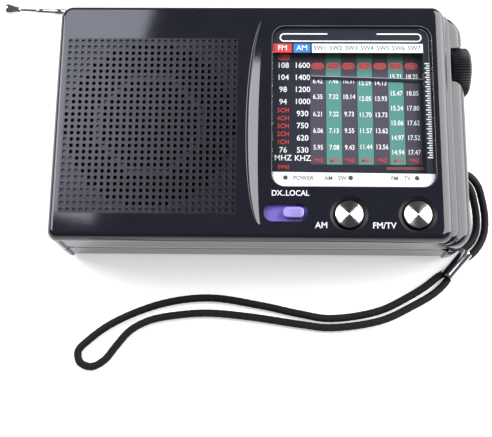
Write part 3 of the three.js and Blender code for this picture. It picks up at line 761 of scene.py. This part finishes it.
finishes.update({
    "white_ink": moulded("white ink", (0.86, 0.87, 0.88), 0.35, 0, wander=0.03),
    "red_ink": moulded("red ink", (0.62, 0.045, 0.04), 0.35, 0, wander=0.05),
    "blue_ink": moulded("blue ink", (0.03, 0.2, 0.62), 0.35, 0, wander=0.05),
    "teal_ink": inkWithPaintedShade("teal ink", (0.085, 0.265, 0.23)),
    "slate_ink": inkWithPaintedShade("slate ink", (0.066, 0.06, 0.085)),
    "maroon_ink": moulded("maroon ink", (0.17, 0.045, 0.045), 0.5, 0, wander=0.08),
    # painted highlight: grey ink standing for the light caught on the lens edge
    "lens_edge_highlight": moulded("painted lens edge highlight", (0.2, 0.2, 0.22), 0.2, 0, wander=0.5),
    "grey_ink": moulded("grey ink", (0.16, 0.17, 0.19), 0.35, 0, wander=0.05),
})

dial = {"cardTop": -3.0, "print": 0.04, "spread": 1.0116, "eyeX": 35.26, "eyeY": -91.22,
        "columns": [52.0, 56.9, 61.65, 66.6, 71.5, 76.3, 81.3], "stripWidth": 4.75, "stripTop": 24.0,
        "stripBottom": -12.6, "ovalY": 19.6, "tvOval": (41.5, 22.55), "inLens": -0.4, "bold": 0.03,
        "lamps": {"power_led": 41.95, "am_led": 61.8, "fm_led": 81.95}, "lampY": -16.7}


# the card lies deeper than the window, so what is laid out on the face is spread a little
def onCard(x, y):
    eyeX, eyeY, spread = dial["eyeX"], dial["eyeY"], dial["spread"]
    return eyeX + (x - eyeX) * spread, eyeY + (y - eyeY) * spread


def lettering(words, level, deep):
    points, faces, total = [], [], 0
    for word, x, y, tall, squeeze in words:
        drawing = bpy.data.curves.new("word", "FONT")
        drawing.body = word
        drawing.align_x, drawing.align_y = "CENTER", "CENTER"
        drawing.size = tall / 0.72
        drawing.offset = dial["bold"]
        drawing.extrude = dial["print"] / 2
        drawing.resolution_u = 3
        flat, loops = curvePoints(drawing)
        x, y = onCard(x, y) if deep else (x, y)
        points.append(flat * [squeeze, 1, 1] + [x, y, level + dial["print"] / 2])
        faces += [[i + total for i in loop] for loop in loops]
        total += len(flat)
    return np.concatenate(points), faces


# words on the card lie deep; words on the window or the face stand where they are laid out
def printWords(name, words, ink, level, node):
    points, faces = lettering(words, level, node == "dial_plate")
    piece = newPiece(name, points, faces, ink, "case", smooth=False, closed=False)
    weld(piece)
    standsFor(piece, "dial_print", node)


def printShapes(name, loops, ink, level):
    moved = [np.array([onCard(*p) for p in loop]) for loop in loops]
    piece = plate(name, moved[0], moved[1:], level + dial["print"], dial["print"], ink)
    standsFor(piece, "dial_print", "dial_plate")


def oval(x, y, wide, high):
    return roundedBox(x - wide / 2, x + wide / 2, y - high / 2, y + high / 2, high / 2 - 0.02, steps=6)


shortwave = [[6.42, 6.35, 6.21, 6.06, 5.95], [7.46, 7.32, 7.22, 7.13, 7.08], [10.31, 10.14, 9.73, 9.55, 9.43],
             [12.29, 12.05, 11.70, 11.57, 11.44], [14.13, 13.93, 13.73, 13.62, 13.56],
             [15.71, 15.47, 15.24, 15.06, 14.97, 14.94], [18.25, 18.05, 17.80, 17.62, 17.52, 17.47]]


def makeCard():
    level = dial["cardTop"]
    card = plate("dial_card", roundedBox(36, 89.4, -19.5, 33.5, 1), [], level, 0.8, "dial_print", "case", 0.1)
    standsFor(card, "dial_print", "dial_plate")
    even = [band(x, dial["stripTop"], dial["stripBottom"], dial["stripWidth"]) for x in dial["columns"][1::2]]
    odd = [band(x, dial["stripTop"], dial["stripBottom"], dial["stripWidth"]) for x in dial["columns"][0::2]]
    printShapes("teal_strips", even, "teal_ink", level)
    printShapes("slate_strips", odd, "slate_ink", level)
    above = level + dial["print"]
    outlines = [oval(x, dial["ovalY"], 3.9, 2.1) for x in dial["columns"]] + [oval(*dial["tvOval"], 3.8, 2.0)]
    fills = [oval(x, dial["ovalY"], 3.4, 1.6) for x in dial["columns"]] + [oval(*dial["tvOval"], 3.3, 1.5)]
    printShapes("red_ovals", outlines, "red_ink", above)
    printShapes("red_oval_fills", fills, "maroon_ink", above + dial["print"])
    printShapes("red_foot_band", [band(78.4, -13.3, -14.2, 11.5)], "maroon_ink", above)
    rows5, rows6 = [14.5, 9.3, 3.6, -1.8, -7.2], [16.0, 10.5, 5.6, 0.8, -4.0, -8.7]
    later = [13.9, 8.7, 3.4, -1.8, -7.0]
    rows = [rows5, rows5, rows5, later, later, rows6, rows6]
    whites = [(f"{v:.2f}", x, y, 1.6, 0.82) for x, column, heights in zip(dial["columns"], shortwave, rows)
              for v, y in zip(column, heights)]
    whites += [(t, 41.2, y, 1.85, 0.98) for t, y in (("108", 19.75), ("104", 15.7), ("98", 11.7), ("94", 7.6),
                                                    ("76", -8.1), ("MHZ", -10.6))]
    whites += [(t, 47.2, y, 1.85, 0.98) for t, y in (("1600", 19.75), ("1400", 15.7), ("1200", 11.7), ("1000", 7.7),
                                                    ("930", 3.7), ("750", -0.2), ("620", -4.2), ("530", -8.1),
                                                    ("KHZ", -10.7))]
    printWords("dial_numbers", whites, "white_ink", above, "dial_plate")
    reds = [(f"{5 - i}CH", 41.2, y, 1.5, 0.95) for i, y in enumerate((4.8, 2.2, -0.3, -2.9, -5.5))]
    reds += [("MHZ", x, -11.3, 1.2, 0.8) for x in dial["columns"]]
    reds.append(("(MHz)", 41.3, -13.4, 1.2, 0.85))
    printWords("dial_red_words", reds, "red_ink", above, "dial_plate")
    above2 = above + 2 * dial["print"]
    metres = ["49m", "41m", "31m", "25m", "22m", "19m", "16m"]
    printWords("band_metres", [(t, x, dial["ovalY"], 1.1, 0.8) for t, x in zip(metres, dial["columns"])]
               + [("TV", *dial["tvOval"], 1.15, 0.85)], "red_ink", above2, "dial_plate")


# the window is clear over the card; its printed parts stand just behind it
def makeWindow():
    # the clear pane's outline, grown all round by g
    def pane(g, steps=8):
        return roundedBox(37.8 - g, 87.7 + g, -19.7 - g, 32.8 + g, 4 + g, steps=steps)

    lens = plate("dial_window", pane(0), [], faceFront - 0.1, 1.3,
                 "dial_window", "case", 0.12)
    standsFor(lens, "dial_window", "dial_lens")
    # the two grey lines round the pane are painted highlights on the lens edge
    for i, (grow, wide) in enumerate(((0.16, 0.13), (-0.9, 0.1))):
        line = plate(f"window_edge_highlight_{i + 1}", pane(grow, 10), [pane(grow - wide, 10)], faceFront - 0.06, 0.08,
                     "lens_edge_highlight")
        # of the inner painted highlight only the upper right corner and the right side are kept, where the lens edge
        # catches the light
        if i:
            carve(line, [cutBox((30, -40, 0), corner) for corner in ((85.5, 29.5, 2), (84, 40, 2), (95, -10, 2))])
        standsFor(line, "dial_window", "dial_lens")
    level = dial["inLens"]
    clear = [(38.3, -15.0), (85.0, -15.0), (85.0, 24.4), (38.3, 24.4)]
    frameMask = plate("window_mask", pane(-0.15), [clear], level, 0.04, "dial_print")
    standsFor(frameMask, "dial_print", "dial_lens")

    # a long thin loop above the header, open in the middle of its upper side
    def ring(grow):
        return roundedBox(40.1 - grow, 84.9 + grow, 28.0 - grow, 30.9 + grow, 1.4 + grow, steps=10)

    outline = plate("window_loop", ring(0), [ring(-0.42)], level + 0.05, 0.05, "white_ink")
    carve(outline, [cutBox((55.2, 30.2, -1), (70.8, 31.2, 0))])
    pieces = [outline]
    foot = roundedBox(38.0, 87.5, -19.5, -10, 3.8)
    low = foot[foot[:, 1] < -15.4]
    leftSide, rightSide = low[low[:, 0] < 60], low[low[:, 0] > 60]
    leftSide, rightSide = leftSide[np.argsort(-leftSide[:, 1])], rightSide[np.argsort(rightSide[:, 1])]
    foot = np.concatenate([[(38.0, -14.9)], leftSide, rightSide, [(87.5, -15.35)]])
    lamps = [circle(x, dial["lampY"], 0.72, 20) for x in dial["lamps"].values()]
    pieces.append(plate("foot_band", foot, lamps, level + 0.05, 0.05, "white_ink"))
    for ink, x, wide in (("red", 41.0, 5.9), ("blue", 47.15, 5.3), ("white", 67.75, 34.9)):
        pieces.append(plate("header_" + ink, band(x, 27.35, 24.3, wide), [], level + 0.05, 0.05, ink + "_ink"))
    # ticks share their right ends, and every other one is short
    marks = [band(87.1 - long / 2, y + 0.2, y - 0.2, long)
             for y, long in zip(np.arange(20.7, -10.2, -0.77), itertools.cycle((1.6, 1.1)))]
    pieces.append(plate("tick_scale", marks[0], marks[1:], level + 0.05, 0.05, "white_ink"))
    dome = [(0.001, 0.12), (0.4, 0.09), (0.65, 0.0), (0.7, -0.05), (0.7, -0.6), (0.001, -0.6)]
    for name, x in dial["lamps"].items():
        lamp = turned(name + "_dome", dome, (x, dial["lampY"], level - 0.05), "z", "lamp", "case", 24)
        standsFor(lamp, "lamp", name)
    for piece in pieces:
        standsFor(piece, "dial_print", "dial_lens")
    words = [("FM", 41.0, 25.85, 1.75, 1.0), ("AM", 47.15, 25.85, 1.75, 1.0)]
    printWords("header_words", words, "white_ink", level + 0.05, "dial_lens")
    greys = [(f"SW{i + 1}", 52.9 + 4.93 * i, 25.85, 1.55, 0.95) for i in range(7)]
    greys += [("POWER", 47.4, -16.85, 1.35, 0.95), ("AM - SW", 57.2, -16.85, 1.35, 0.95),
              ("FM - TV", 77.0, -16.85, 1.35, 0.95)]
    printWords("band_words", greys, "grey_ink", level + 0.05, "dial_lens")


# a dark strip with a pale line along its upper edge, hanging very slightly out of level
def makePointer():
    low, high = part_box("dial_pointer")
    y = ((low[1] + high[1]) / 2 - grilleCentre[1]) * 1000
    ends = [(50.2, 0.55), (86.0, -0.5)]
    lines = {"pointer_needle": (0.13, 0.2, -2.37, "pointer_white"),
             "pointer_strip": (-0.42, 0.8, -2.44, "dial_print")}
    for name, (offset, wide, top, finish) in lines.items():
        (x0, y0), (x1, y1) = ends
        outline = [(x0, y + y0 + offset - wide / 2), (x1, y + y1 + offset - wide / 2),
                   (x1, y + y1 + offset + wide / 2), (x0, y + y0 + offset + wide / 2)]
        needle = plate(name, outline, [], top, 0.28, finish, "pointer")
        standsFor(needle, "pointer_white", "dial_pointer")
    shoe = block("pointer_shoe", (85.4, y - 2, -3.35), (88.6, y + 2, -2.35), "drive_plastic", "pointer", 0.25)
    standsFor(shoe, "pointer_white", "dial_pointer")


makeCard()
makeWindow()
makePointer()
printWords("panel_words", [("DX..LOCAL", 43.4, -22.0, 1.75, 0.93), ("AM", 52.7, -31.9, 1.9, 0.98),
                           ("FM/TV", 71.5, -31.9, 1.9, 0.98)], "white_ink", faceFront, "front_shell")
print("dial made")

# tuning knob


def makeKnob():
    low, high = knob["from"], knob["to"]
    profile = [(0.001, high), (3.0, high), (6.2, high - 0.05), (7.2, high - 0.25), (7.75, high - 0.7),
               (8.05, high - 1.1), (8.05, low + 0.6), (7.7, low + 0.15), (7.2, low), (0.001, low)]

    # upright flutes: the rim's radius falls by a rounded sawtooth in the angle, only on the rim
    def flutes(radius, height, angle):
        rim = np.clip((radius - 7.3) / 0.6, 0, 1)
        return radius - rim * knob["depth"] * np.abs(np.sin(angle * knob["ribs"] / 2)) ** 3

    piece = turned("knob", profile, (0, knob["y"], knob["z"]), "x", "black_ribbed", "tuning", 448, flutes)
    standsFor(piece, "black_ribbed", "tuning_knob")


makeKnob()

# back case with the battery door

# the back turns in over a soft rim; the second list is the inside of its wall
backRows = [broadRow(*row) for row in ((0.15, -16.3), (0, -16.5), (0, -18), (0, -21), (0, -24))]
backRows += [broadRow(4.2 * (1 - math.cos(a)), -25.8 - 4.2 * math.sin(a)) for a in np.linspace(0, np.pi / 2, 10)]
backRows.append(broadRow(6.0, -30.0))
backInner = [broadRow(*row) for row in ((2.0, -16.3), (2.0, -24), (2.6, -26.5), (4.5, -28.2), (6.0, -28.2))]
door = {"left": 31.2, "right": 86.8, "bottom": -34.2, "top": -3.4, "outer": -29.6, "thick": 1.4}
wheel = {"x": -23.5, "y": 22, "teeth": 64, "depth": 0.3}
sockets = {"earphone": -16.6, "dc": -24.2, "z": -21}
antenna = {"pivot": (80, 42.55, -22.5), "dip": 6.7}
posts = [(-24.8, -31), (-24.8, 35), (90.5, 36.1), (91.5, -31)]


def makeBackCase():
    rings = np.concatenate([caseRings(backRows[::-1], 1.0), caseRings(backInner, 0.0)])
    piece = carried("back_case", rings, "black_gloss")
    slack = 0.25
    cutters = [cutBox((door["left"] - slack, door["bottom"] - 10, -34),
                      (door["right"] + slack, door["top"] + slack, -27.9)),
               cutCylinder((0, knob["y"], knob["z"]), "x", knob["radius"] + knob["room"], 94.8, 110),
               cutBox((-34, wheel["y"] - 8.3, -21.9), (-27.5, wheel["y"] + 8.3, -18.6)),
               cutBox((-34, -10.5, -22.2), (-27.5, 10.5, -19.8))]
    cutters += [cutCylinder((0, y, sockets["z"]), "x", 3.3, -34, -27) for y in (sockets["earphone"], sockets["dc"])]
    cutters += [cutCylinder((antenna["pivot"][0], 0, antenna["pivot"][2]), "y", 3.6, 36, 44),
                cutBox((95.5, -14.8, -22.8), (104, -7.2, -17))]
    cutters += [cutCylinder((x, y, 0), "z", 2.3, -34, -27.5, 32) for x, y in posts]
    carve(piece, cutters)
    standsFor(piece, "black_gloss", "back_shell")
    # a wall behind the strap's opening keeps the inside of the case from showing
    pocket = block("strap_pocket", (95.3, -15.2, -23.2), (95.6, -6.8, -16.6), "black_ribbed", "case", 0.02)
    standsFor(pocket, "black_gloss", "back_shell")


def makeDoor():
    thick, z = door["thick"], door["outer"]
    outline = roundedBox(door["left"], door["right"], door["bottom"], door["top"], 1.0, steps=5)
    grips = [roundedBox(52, 66, y, y + 1.1, 0.5, steps=5) for y in (-11.6, -9.4, -7.2)]
    arrow = [(59, -18.5), (62.4, -14.8), (55.6, -14.8)]
    skin = plate("battery_door_skin", outline, grips + [arrow], z + 0.5, 0.5, "black_gloss", "door", 0.15)
    backing = plate("battery_door_backing", outline * 0.999 + [0.05, -0.02], [], z + thick, thick - 0.45,
                    "black_ribbed", "door", 0.1)
    for piece in (skin, backing):
        standsFor(piece, "black_gloss", "battery_door")


def makeScrews():
    profile = [(0.001, -28.6), (0.9, -28.6), (0.92, -28.75), (1.0, -29.2), (1.5, -29.15), (1.85, -28.95), (2.0, -28.5),
               (2.0, -27.8), (0.001, -27.8)]

    # a cross recess: the head's floor drops inside two narrow bars at right angles
    for i, (x, y) in enumerate(posts):
        head = turned(f"screw_head_{i + 1}", profile, (x, y, 0), "z", "steel", "case", 32)
        bars = [cutBox((x - 1.2, y - 0.22, -30), (x + 1.2, y + 0.22, -28.55)),
                cutBox((x - 0.22, y - 1.2, -30), (x + 0.22, y + 1.2, -28.55))]
        carve(head, bars)
        standsFor(head, "steel", f"case_screw_{i + 1}")


makeBackCase()
makeDoor()
makeScrews()
print("back made")

# left side: volume wheel, band knob and sockets


def makeSideControls():
    disc = [(0.001, -19), (8.4, -19), (8.75, -19.12), (9.0, -19.4), (9.0, -21.1), (8.75, -21.38), (8.4, -21.5),
            (0.001, -21.5)]

    def teeth(radius, height, angle):
        rim = np.clip((radius - 8.3) / 0.5, 0, 1)
        return radius - rim * wheel["depth"] * np.sin(angle * wheel["teeth"] / 2) ** 2

    piece = turned("volume_rim", disc, (wheel["x"], wheel["y"], 0), "z", "black_ribbed", "volume", 512, teeth)
    standsFor(piece, "black_ribbed", "volume_wheel")
    # the band knob's outer face is a row of ribs along y: x bulges by a sine of y
    u, v = np.linspace(0, 1, 61)[:, None], np.linspace(0, 1, 11)[None]
    edge = np.minimum(np.minimum(u, 1 - u) * 5, np.minimum(v, 1 - v) * 4.4)
    swell = np.sqrt(np.clip(1 - (1 - np.clip(edge / 0.5, 0, 1)) ** 2, 0, 1))
    x = -30.5 - 1.45 * swell - 0.2 * np.abs(np.sin(u * np.pi * 6)) * swell
    grid = np.stack([x, -2.5 + 5 * u * np.ones_like(v), -23.2 + 4.4 * v * np.ones_like(u)], -1)
    floor = grid.copy()
    floor[..., 0] = -30.45
    cap = closedSheet("band_knob_cap", np.concatenate([grid, floor[::-1]]), 61, 11, "black_ribbed", "band")
    stem = block("band_knob_stem", (-30.6, -1, -22), (-28.3, 1, -20), "black_ribbed", "band", 0.1)
    for made in (cap, stem):
        standsFor(made, "black_gloss", "band_knob")
    for name, y, bore in (("earphone_jack", sockets["earphone"], 1.75), ("dc_jack", sockets["dc"], 1.5)):
        profile = [(0.001, -23.5), (3.2, -23.5), (3.2, -30.2), (3.0, -30.35), (bore + 0.25, -30.35), (bore, -30.2),
                   (bore, -24.5), (0.001, -24.5)]
        ring = turned(name + "_body", profile, (0, y, sockets["z"]), "x", "component_black", "case", 40)
        standsFor(ring, "component_black", name)
        sleeve = [(bore - 0.02, -30.0), (bore - 0.02, -25), (bore - 0.25, -25), (bore - 0.25, -29.9)]
        liner = turned(name + "_liner", sleeve, (0, y, sockets["z"]), "x", "chrome", "case", 40, wrap=True)
        standsFor(liner, "chrome", name)


makeSideControls()

# antenna

# profiles are (distance from the pivot, radius) pairs turned round the rod's own axis
def rodPiece(name, node, body, profile, sides=40, wrap=False):
    profile = np.asarray(profile, float)
    angle = np.linspace(0, 2 * np.pi, sides, endpoint=False)
    dip = math.radians(antenna["dip"])
    ahead = np.array([-math.cos(dip), 0, math.sin(dip)])
    aside = np.array([math.sin(dip), 0, math.cos(dip)])
    grid = (np.asarray(antenna["pivot"]) + profile[:, :1, None] * ahead
            + profile[:, 1, None, None] * (np.cos(angle)[None, :, None] * aside
                                           + np.sin(angle)[None, :, None] * np.array([0, 1.0, 0])))
    piece = carried(name, grid, "chrome", body, wrapRows=wrap)
    standsFor(piece, "chrome", node)
    return piece


def makeAntenna():
    tubes = [("rod_section_1", "antenna_tube_1", "mast", 1.85, 1.57, 5.2, 108.6),
             ("rod_section_2", "antenna_tube_2", "mast_2", 1.42, 1.2, 8, 110),
             ("rod_section_3", "antenna_tube_3", "mast_3", 1.08, 0.9, 11, 115),
             ("rod_section_4", "antenna_tube_4", "mast_4", 0.78, 0.62, 16, 121)]
    for name, node, body, outer, bore, start, end in tubes:
        rolled = min(0.12, outer - bore)
        rodPiece(name, node, body, [(start, bore), (start, outer), (end - 2.2, outer), (end - 2.0, outer - 0.06),
                                    (end - 1.8, outer), (end - 0.25, outer), (end - 0.05, outer - rolled * 0.6),
                                    (end, bore + 0.02), (end - 0.1, bore)], wrap=True)
    rodPiece("rod_tip", "antenna_tip", "mast_tip",
             [(20, 0.001), (20, 0.5), (126.2, 0.5), (126.4, 0.85), (126.6, 0.95), (127.6, 1.12), (129.6, 1.78),
              (130.0, 1.88), (130.4, 1.86), (130.7, 1.7), (130.85, 1.3), (130.9, 0.6), (130.9, 0.001)], 48)
    foot = [(0.001, 36.4), (4.1, 36.4), (4.1, 38), (3.4, 38), (3.4, 40.1), (3.2, 40.3), (0.001, 40.3)]
    base = turned("antenna_socket", foot, (antenna["pivot"][0], 0, antenna["pivot"][2]), "y", "chrome",
                  "case", 40)
    standsFor(base, "chrome", "antenna_base")
    # a plug closes the first tube and narrows into the flat tongue that turns on the pin
    rodPiece("rod_plug", "antenna_tube_1", "mast",
             [(3.8, 0.001), (3.8, 1.5), (4.1, 1.8), (5.3, 1.8), (6.0, 1.5), (6.0, 0.001)])
    dip = math.radians(antenna["dip"])
    angle = np.linspace(-np.pi / 2, np.pi / 2, 17)
    half = 0.95
    outline = np.concatenate([half * np.stack([np.cos(angle), np.sin(angle)], -1), [(-4.4, half), (-4.4, -half)]])
    sides = np.stack([np.concatenate([outline, np.full((len(outline), 1), z)], -1) for z in (-0.85, 0.85)])
    turnY = np.array([[math.cos(dip), 0, math.sin(dip)], [0, 1, 0], [-math.sin(dip), 0, math.cos(dip)]])
    tongue = carried("rod_tongue", sides @ turnY.T + antenna["pivot"], "chrome", "mast")
    standsFor(tongue, "chrome", "antenna_tube_1")


makeAntenna()
print("antenna made")

# parts kept from the frame


def finishFrameParts():
    slotNames = {row["node"]: row["material_slot"] for row in frame["record"]["subparts"]}
    for name, piece in frame["nodes"].items():
        for holder in piece.material_slots:
            holder.material = finishes[slotNames[name]]


finishFrameParts()

cloth = plate("speaker_cloth", circle(0, 0, 26.6, 96), [], -1.45, 0.25, "paper_cone")
standsFor(cloth, "paper_cone", "speaker_cone")

# floor and light

studio = {"sky": 0.16, "floor": 0.9, "glow": 0.5}


def makeStudio():
    floor = bpy.data.meshes.new("floor")
    floor.from_pydata([(-3, -3, 0), (3, -3, 0), (3, 3, 0), (-3, 3, 0)], [], [(0, 1, 2, 3)])
    board = bpy.data.objects.new("floor", floor)
    bpy.context.collection.objects.link(board)
    table = Finish("floor", (studio["floor"],) * 3, 0.9, Specular_IOR_Level=0.0, Emission_Strength=studio["glow"])
    table.set(Emission_Color=table.mix(table.noise(3, 2), (0.99, 0.99, 1.0), (1.0, 1.0, 1.0)))
    floor.materials.append(table.material)
    board.location.z = backLow[2] - 0.0002
    sky = bpy.data.worlds.new("sky")
    sky.use_nodes = True
    sky.node_tree.nodes["Background"].inputs[0].default_value = (1, 1, 1, 1)
    sky.node_tree.nodes["Background"].inputs[1].default_value = studio["sky"]
    bpy.context.scene.world = sky


# an area light: its middle, its size, the point it looks at, how it is turned about its own axis in
# degrees, its radiance and its tint
def softbox(name, middle, size, target, turn, radiance, tint):
    light = bpy.data.lights.new(name, "AREA")
    light.shape = "RECTANGLE"
    light.size, light.size_y = size
    light.energy = radiance * math.pi * size[0] * size[1]
    light.color = tint
    holder = bpy.data.objects.new(name, light)
    bpy.context.collection.objects.link(holder)
    holder.location = middle
    aim = (Vector(target) - Vector(middle)).to_track_quat("-Z", "Y")
    holder.rotation_euler = (aim @ Quaternion((0, 0, 1), math.radians(turn))).to_euler()


makeStudio()
softbox("left box", (-0.277, 0.279, 0.63), (0.3, 0.29), (-0.277, 0.279, 0), -13.0, 6.0, (0.84, 0.86, 1.0))
softbox("far left box", (-0.62, 0.25, 0.6), (0.36, 0.5), (0, 0, 0), 0, 9.5, (0.95, 0.95, 1.0))
softbox("right box", (0.38, 0.165, 0.25), (0.525, 0.46), (0.047, 0.165, 0.143), 90, 7.5, (1, 1, 1))
bpy.context.scene.view_settings.view_transform = "Standard"
